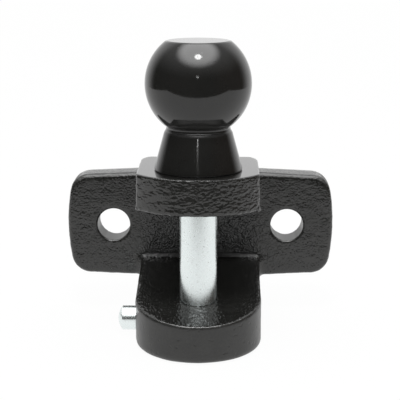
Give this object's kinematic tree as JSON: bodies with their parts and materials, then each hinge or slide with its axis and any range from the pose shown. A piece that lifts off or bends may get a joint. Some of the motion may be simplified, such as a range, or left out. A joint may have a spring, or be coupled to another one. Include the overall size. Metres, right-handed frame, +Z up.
{
  "type": "ball and pin towing jaw",
  "caption": "Cast towing jaw with a bolt-on flange, a tow ball on a machined pad, a plated pin through both jaws and a sprung plunger that locks the pin.",
  "frame": {"origin": "midway between the two bolt holes, on the flange's mounting face", "axes": "+X across the flange, +Y out of the mounting face towards the vehicle, +Z up along the pin"},
  "size_m": [0.138, 0.0925, 0.1471],
  "materials": {
    "black_casting": "thick gloss black paint over a rough casting, smooth on the machined pad",
    "black_ball": "smooth gloss black paint",
    "zinc_plate": "bright zinc plate",
    "spring_steel": "oiled spring steel"
  },
  "bodies": {
    "hitch_body": {"jaw_casting": "black_casting", "plunger_retaining_pin": "spring_steel", "plunger_spring": "spring_steel"},
    "ball_and_pin": {"tow_ball": "black_ball", "tow_pin": "zinc_plate"},
    "plunger": {"locking_plunger": "zinc_plate"}
  },
  "joints": [
    {"name": "ball_turn", "type": "hinge", "parent": "hitch_body", "child": "ball_and_pin", "pos_m": [0, -0.062, 0], "axis": [0, 0, 1], "continuous": true},
    {"name": "plunger_press", "type": "slide", "parent": "hitch_body", "child": "plunger", "axis": [1, 0, 0], "range_m": [0, 0.0075], "stiffness_N_per_m": 1500, "springref_m": -0.006, "deforming": ["plunger_spring"]}
  ]
}
